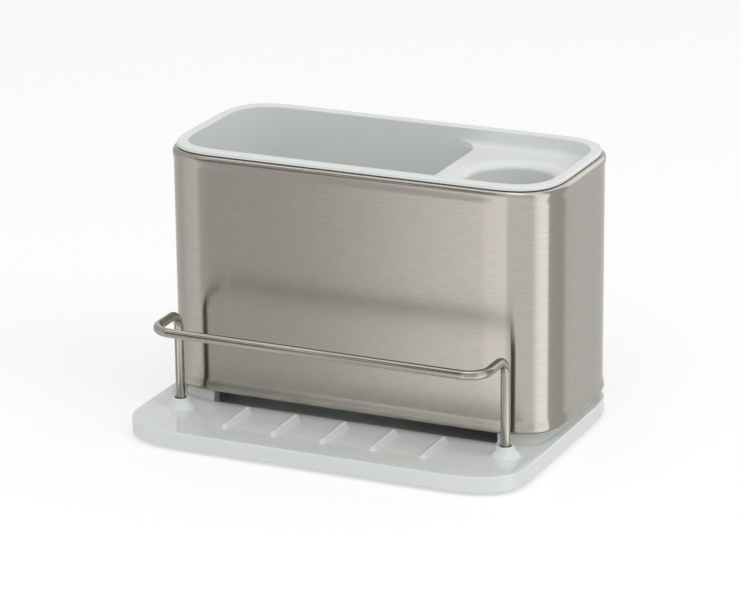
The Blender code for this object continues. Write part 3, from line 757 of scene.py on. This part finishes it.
def drawn_wire():
    """Stainless wire, drawn through a die, which leaves fine lines along its length.

    The lines break the mirrored studio into thin bright and dark streaks that run with the wire.
    """
    material, tree, shader = start_material("drawn stainless wire")
    shader.inputs["Metallic"].default_value = 1.0
    place = add(tree, "ShaderNodeAttribute", attribute_name="drawn").outputs["Vector"]
    # Die lines run for some 125 mm and lie about 1.2 mm apart round the wire. Real ones lie about 0.1 mm
    # apart, too fine to show.
    lines = add(tree, "ShaderNodeMapping", [("Vector", place)], Scale=(850, 850, 8))
    grain = add(tree, "ShaderNodeTexNoise", [("Vector", lines.outputs["Vector"])], Scale=1.0, Detail=3.0,
                Roughness=0.6)
    tone = add(tree, "ShaderNodeMapRange", [("Value", grain.outputs["Fac"])], From_Min=0.35, From_Max=0.65,
               To_Min=0.58, To_Max=1.24)
    tint = add(tree, "ShaderNodeVectorMath", [(0, linear("AEA9A0")[:3]), (1, tone.outputs["Result"])],
               operation="MULTIPLY")
    tree.links.new(shader.inputs["Base Color"], tint.outputs["Vector"])
    rough = add(tree, "ShaderNodeMapRange", [("Value", grain.outputs["Fac"])], From_Min=0.3, From_Max=0.7,
                To_Min=0.13, To_Max=0.20)
    tree.links.new(shader.inputs["Roughness"], rough.outputs["Result"])
    bump = add(tree, "ShaderNodeBump", [("Height", grain.outputs["Fac"])], Strength=0.35, Distance=0.00006)
    tree.links.new(shader.inputs["Normal"], bump.outputs["Normal"])
    return material


def moulded_plastic(name, tone, patch, low, high, texture):
    """Injection-moulded ABS, from a polished mould, or polypropylene, from a blasted one.

    Its colour is even but for faint flow patches. The mould's skin makes it gloss or satin.
    """
    material, tree, shader = start_material(name)
    shader.inputs["IOR"].default_value = 1.49
    place = add(tree, "ShaderNodeTexCoord").outputs["Object"]
    # Flow patches some 40 mm across, far too weak to see as spots.
    flow = add(tree, "ShaderNodeTexNoise", [("Vector", place)], Scale=25.0, Detail=2.0)
    blend = add(tree, "ShaderNodeMix", [(0, flow.outputs["Fac"]), (6, linear(tone)), (7, linear(patch))],
                data_type="RGBA")
    tree.links.new(shader.inputs["Base Color"], blend.outputs[2])
    # The skin's grain is about 0.3 mm apart.
    skin = add(tree, "ShaderNodeTexNoise", [("Vector", place)], Scale=3000.0, Detail=2.0)
    rough = add(tree, "ShaderNodeMapRange", [("Value", skin.outputs["Fac"])], From_Min=0.3, From_Max=0.7,
                To_Min=low, To_Max=high)
    tree.links.new(shader.inputs["Roughness"], rough.outputs["Result"])
    bump = add(tree, "ShaderNodeBump", [("Height", skin.outputs["Fac"])], Strength=texture, Distance=0.00002)
    tree.links.new(shader.inputs["Normal"], bump.outputs["Normal"])
    return material


def soft_rubber():
    """Moulded thermoplastic rubber: matte grey, with the faint bloom that such pads get."""
    material, tree, shader = start_material("grey thermoplastic rubber")
    shader.inputs["Roughness"].default_value = 0.75
    place = add(tree, "ShaderNodeTexCoord").outputs["Object"]
    # Bloom in spots about 2 mm across.
    bloom = add(tree, "ShaderNodeTexNoise", [("Vector", place)], Scale=500.0, Detail=3.0)
    blend = add(tree, "ShaderNodeMix", [(0, bloom.outputs["Fac"]), (6, linear("9FA3A2")),
                                        (7, linear("A9ACAB"))], data_type="RGBA")
    tree.links.new(shader.inputs["Base Color"], blend.outputs[2])
    return material


# Studio

# What polished things see round the caddy in place of the floor and the pale background, as pairs of
# azimuth and level: one ring below the horizon and one above it. They stand for no known studio. The
# levels were matched to the photograph, the low ring's to its brightness column by column on the steel.
LOW_RING = ((-180, 0.84), (-155, 0.90), (-120, 0.75), (-87, 0.77), (-65, 0.94), (-43.5, 1.02), (-39, 0.75),
            (-27, 0.66), (-25, 0.69), (-23, 1.47), (-7, 1.48), (-2, 1.10), (50, 1.10), (58, 1.38), (70, 1.70),
            (90, 1.80), (98, 1.70), (103, 0.75), (120, 0.67), (145, 0.60), (151, 0.82), (158, 0.83),
            (180, 0.78))
HIGH_RING = ((-180, 0.86), (-150, 0.82), (-120, 0.66), (-60, 0.72), (-44, 0.54), (-38, 0.25), (-27, 0.12),
             (-25, 0.15), (-22, 0.60), (-8, 1.05), (-2, 0.90), (52, 0.90), (61, 1.55), (99, 1.55),
             (103, 0.66), (145, 0.62), (152, 1.60), (168, 1.60), (176, 0.90), (180, 0.86))
CEILING = 1.5
# Heights on the unit sphere between which the low ring turns to the high one, and that to the ceiling
HORIZON = (-0.12, 0.0)
CEILING_EDGE = (0.80, 0.92)
# The soft light on all other surfaces
AMBIENT_LEFT = 0.63
AMBIENT_RIGHT = 0.77
# What the camera sees of the paper: this share of the light on it, over this level
SHADOW_SHARE = 0.5
SHADOW_FLOOR = 0.55
# The paper's half width in metres, and the height that the lamps face
FLOOR_HALF = 4.0
LAMP_AIM = 60


def ring_level(tree, direction, ring):
    """Socket that gives a ring's level in a direction."""
    parts = add(tree, "ShaderNodeSeparateXYZ", [("Vector", direction)])
    forward = add(tree, "ShaderNodeMath", [(0, parts.outputs["Y"]), (1, -1)], operation="MULTIPLY")
    azimuth = add(tree, "ShaderNodeMath", [(0, parts.outputs["X"]), (1, forward.outputs["Value"])],
                  operation="ARCTAN2")
    share = add(tree, "ShaderNodeMapRange", [("Value", azimuth.outputs["Value"])], From_Min=-math.pi,
                From_Max=math.pi)
    ramp = add(tree, "ShaderNodeValToRGB", [("Fac", share.outputs["Result"])])
    stops = ramp.color_ramp.elements
    stops.remove(stops[1])
    for index, (degrees, value) in enumerate(ring):
        stop = stops[0] if index == 0 else stops.new((degrees + 180) / 360)
        stop.color = (value, value, value, 1)
    return ramp.outputs["Color"]


def paper_floor():
    """A white paper floor: white to the camera but for a soft shadow.

    Polished things look through it, and mirror the low ring of the surroundings in its place.
    """
    corners = [(-FLOOR_HALF, -FLOOR_HALF), (FLOOR_HALF, -FLOOR_HALF), (FLOOR_HALF, FLOOR_HALF),
               (-FLOOR_HALF, FLOOR_HALF)]
    mesh = bpy.data.meshes.new("floor")
    mesh.from_pydata([(x, y, 0) for x, y in corners], [], [(0, 1, 2, 3)])
    floor = bpy.data.objects.new("floor", mesh)
    bpy.context.scene.collection.objects.link(floor)
    paper, tree, matte = start_material("white paper sweep")
    matte.inputs["Base Color"].default_value = linear("F4F4F4")
    matte.inputs["Roughness"].default_value = 0.9
    matte.inputs["Specular IOR Level"].default_value = 0.2
    rays = add(tree, "ShaderNodeLightPath")
    shade = add(tree, "ShaderNodeBsdfDiffuse", Color=(SHADOW_SHARE, SHADOW_SHARE, SHADOW_SHARE, 1))
    lift = add(tree, "ShaderNodeEmission", Strength=SHADOW_FLOOR)
    seen = add(tree, "ShaderNodeAddShader", [(0, shade.outputs["BSDF"]), (1, lift.outputs["Emission"])])
    clear = add(tree, "ShaderNodeBsdfTransparent")
    first = add(tree, "ShaderNodeMixShader", [("Fac", rays.outputs["Is Glossy Ray"]),
                                              (1, matte.outputs["BSDF"]), (2, clear.outputs["BSDF"])])
    both = add(tree, "ShaderNodeMixShader", [("Fac", rays.outputs["Is Camera Ray"]),
                                             (1, first.outputs["Shader"]), (2, seen.outputs["Shader"])])
    tree.links.new(tree.nodes["Material Output"].inputs["Surface"], both.outputs["Shader"])
    mesh.materials.append(paper)


def surroundings():
    """Rings of light and dark for polished things, a soft wash for the rest, and white for the camera."""
    world = bpy.data.worlds.new("studio")
    bpy.context.scene.world = world
    world.use_nodes = True
    tree = world.node_tree
    direction = add(tree, "ShaderNodeTexCoord").outputs["Generated"]
    low = ring_level(tree, direction, LOW_RING)
    high = ring_level(tree, direction, HIGH_RING)
    parts = add(tree, "ShaderNodeSeparateXYZ", [("Vector", direction)])
    above = add(tree, "ShaderNodeMapRange", [("Value", parts.outputs["Z"])], From_Min=HORIZON[0],
                From_Max=HORIZON[1])
    ring = add(tree, "ShaderNodeMix", [(0, above.outputs["Result"]), (2, low), (3, high)], data_type="FLOAT")
    top = add(tree, "ShaderNodeMapRange", [("Value", parts.outputs["Z"])], interpolation_type="SMOOTHSTEP",
              From_Min=CEILING_EDGE[0], From_Max=CEILING_EDGE[1])
    mirrored = add(tree, "ShaderNodeMix", [(0, top.outputs["Result"]), (2, ring.outputs[0]), (3, CEILING)],
                   data_type="FLOAT")
    wash = add(tree, "ShaderNodeMapRange", [("Value", parts.outputs["X"])], From_Min=-1, To_Min=AMBIENT_LEFT,
               To_Max=AMBIENT_RIGHT)
    rays = add(tree, "ShaderNodeLightPath")
    soft = add(tree, "ShaderNodeMix", [(0, rays.outputs["Is Glossy Ray"]), (2, wash.outputs["Result"]),
                                       (3, mirrored.outputs[0])], data_type="FLOAT")
    seen = add(tree, "ShaderNodeMix", [(0, rays.outputs["Is Camera Ray"]), (2, soft.outputs[0]), (3, 1.0)],
               data_type="FLOAT")
    background = tree.nodes["Background"]
    background.inputs["Color"].default_value = (1, 1, 1, 1)
    tree.links.new(background.inputs["Strength"], seen.outputs[0])


def softbox(name, azimuth, elevation, distance, width, height, power, mirrored):
    """A soft rectangular lamp that faces the caddy, in degrees, millimetres and watts."""
    lamp = bpy.data.lights.new(name, "AREA")
    lamp.shape = "RECTANGLE"
    lamp.size = width * MM
    lamp.size_y = height * MM
    lamp.energy = power
    body = bpy.data.objects.new(name, lamp)
    body.visible_glossy = mirrored
    bpy.context.scene.collection.objects.link(body)
    toward = bearing(azimuth, elevation)
    body.location = (Vector((0, 0, LAMP_AIM)) + toward * distance) * MM
    body.rotation_euler = toward.to_track_quat("Z", "Y").to_euler()


def studio():
    """A white floor, the surroundings and soft lamps."""
    bpy.context.scene.view_settings.view_transform = "Standard"
    paper_floor()
    surroundings()
    # The overhead and the strip leave glints in gloss plastic; the rings stand for the other lamps there.
    softbox("overhead", 0, 88, 1500, 450, 450, 0.9, True)
    softbox("front_top", 10, 50, 1500, 900, 900, 2.6, False)
    softbox("right", 82, 42, 1500, 700, 700, 3.6, False)
    softbox("front_strip", -35, 33, 1500, 500, 180, 0.4, True)


camera()
tray_plastic = moulded_plastic("pale grey gloss ABS", "E2E6E4", "DFE3E1", 0.04, 0.06, 0.01)
liner_plastic = moulded_plastic("pale grey satin polypropylene", "E3E6E4", "E0E3E1", 0.17, 0.23, 0.10)
drip_tray(tray_plastic)
steel_sleeve(brushed_stainless())
inner_liner(liner_plastic)
wire_rail(drawn_wire())
rubber = soft_rubber()
for foot_name, foot_place in FOOT_PLACES.items():
    foot(foot_name, foot_place, rubber)
studio()
